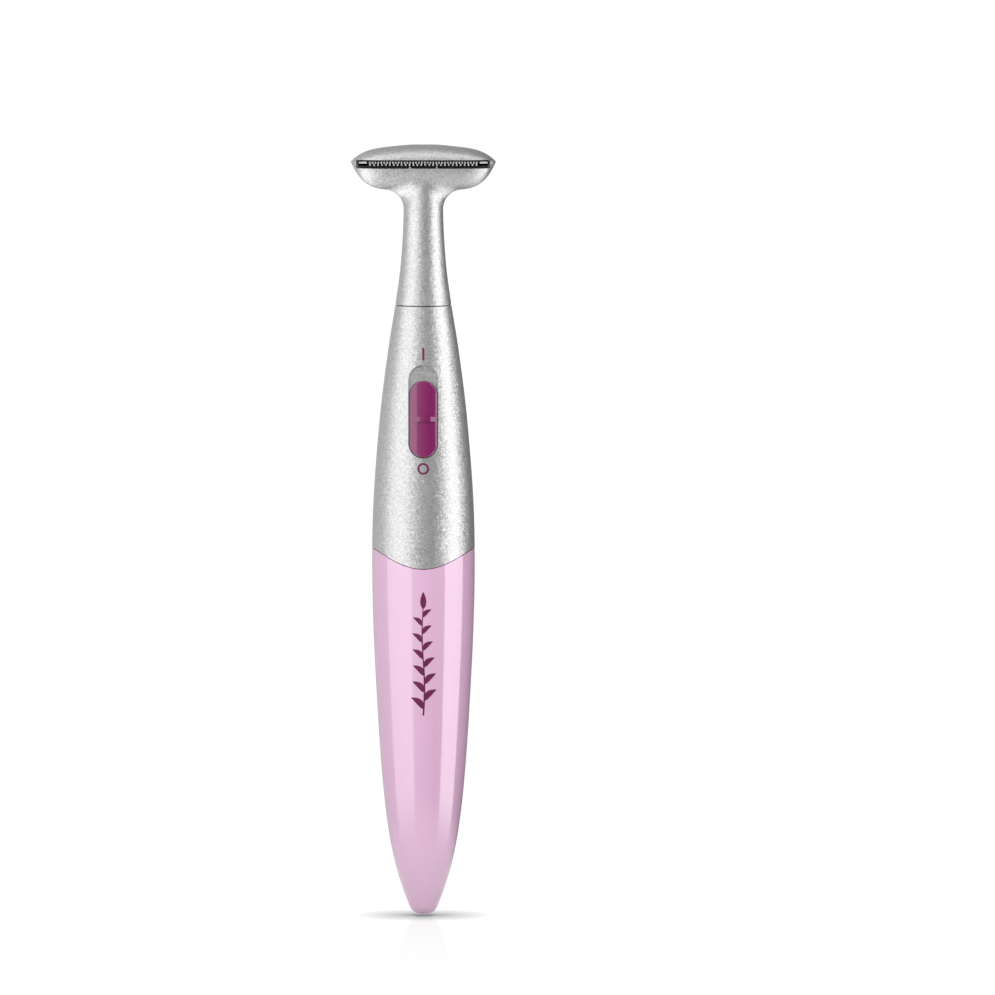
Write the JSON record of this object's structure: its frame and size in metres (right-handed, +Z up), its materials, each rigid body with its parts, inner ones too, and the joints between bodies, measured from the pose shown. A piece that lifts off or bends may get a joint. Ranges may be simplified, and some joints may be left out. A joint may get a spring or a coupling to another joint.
{
  "type": "cordless body-hair trimmer",
  "caption": "Slim battery trimmer: a T-shaped head with a sliding toothed blade on a tapered round handle with a slide switch and a pull-off battery cap.",
  "frame": {"origin": "centre of the small flat at the tip of the battery cap, on the floor", "axes": "+Z up the handle to the head, -Y to the front with the switch and the cutting edge, X along the blade"},
  "size_m": [0.0292, 0.0206, 0.1554],
  "materials": {
    "silver_paint": "metallic sparkle paint on moulded plastic",
    "pink_gloss": "glossy pearl pink plastic",
    "purple_gloss": "glossy purple plastic",
    "black_plastic": "matt black glass-filled plastic",
    "grey_plastic": "matt dark grey plastic",
    "white_pom": "natural white acetal",
    "blade_steel": "ground stainless steel",
    "steel": "plain steel",
    "motor_steel": "zinc-plated steel",
    "magnet": "dark sintered ferrite",
    "copper": "enamelled copper windings on laminations",
    "brass": "plain brass strip",
    "bronze": "sintered bronze",
    "rubber": "black nitrile rubber",
    "cell_jacket": "plain unprinted cell jacket"
  },
  "bodies": {
    "battery_cap": {"battery_cap": "pink_gloss"},
    "handle": {"upper_housing": "silver_paint", "motor_frame": "grey_plastic", "motor_can": "motor_steel", "motor_end_bell": "black_plastic", "motor_terminals": "brass", "motor_magnets": "magnet", "lower_bush": "bronze", "upper_bush": "bronze", "coupling_spigot": "black_plastic", "spigot_ring": "rubber", "battery_cradle": "grey_plastic", "frame_screws": "steel", "cap_seal": "rubber", "battery_cell": "cell_jacket", "battery_spring": "steel", "positive_contact": "brass", "negative_strip": "brass", "switch_contacts": "brass"},
    "switch": {"switch_button": "purple_gloss", "switch_seal": "rubber", "switch_slider": "white_pom", "switch_wiper": "brass"},
    "rotor": {"motor_armature": "copper", "motor_shaft": "steel", "shaft_coupling": "white_pom", "drive_shaft": "steel", "crank": "white_pom"},
    "shaving_head": {"head_shell": "silver_paint", "head_crown": "silver_paint", "blade_carrier": "black_plastic", "fixed_blade": "blade_steel", "blade_screws": "steel", "blade_spring": "steel", "lever_pin": "steel"},
    "drive_lever": {"drive_lever": "white_pom"},
    "moving_blade": {"moving_blade": "blade_steel", "blade_driver": "white_pom"}
  },
  "joints": [
    {"name": "battery_cap_pull", "type": "slide", "parent": "battery_cap", "child": "handle", "axis": [0, 0, 1], "range_m": [0, 0.06]},
    {"name": "power_switch_slide", "type": "slide", "parent": "handle", "child": "switch", "axis": [0, 0.1068, 0.9943], "range_m": [0, 0.0032]},
    {"name": "motor_spin", "type": "hinge", "parent": "handle", "child": "rotor", "pos_m": [0, 0, 0.1], "axis": [0, 0, 1], "continuous": true},
    {"name": "head_pull", "type": "slide", "parent": "handle", "child": "shaving_head", "axis": [0, 0, 1], "range_m": [0, 0.02]},
    {"name": "drive_lever_swing", "type": "hinge", "parent": "shaving_head", "child": "drive_lever", "pos_m": [0, 0, 0.1405], "axis": [0, 1, 0], "range_deg": [-4.25, 4.25]},
    {"name": "moving_blade_slide", "type": "slide", "parent": "shaving_head", "child": "moving_blade", "axis": [1, 0, 0], "range_m": [-0.0007, 0.0007]}
  ],
  "couplings": [
    {"joint": "drive_lever_swing", "follows": "moving_blade_slide", "rad_per_m": 105.26}
  ]
}
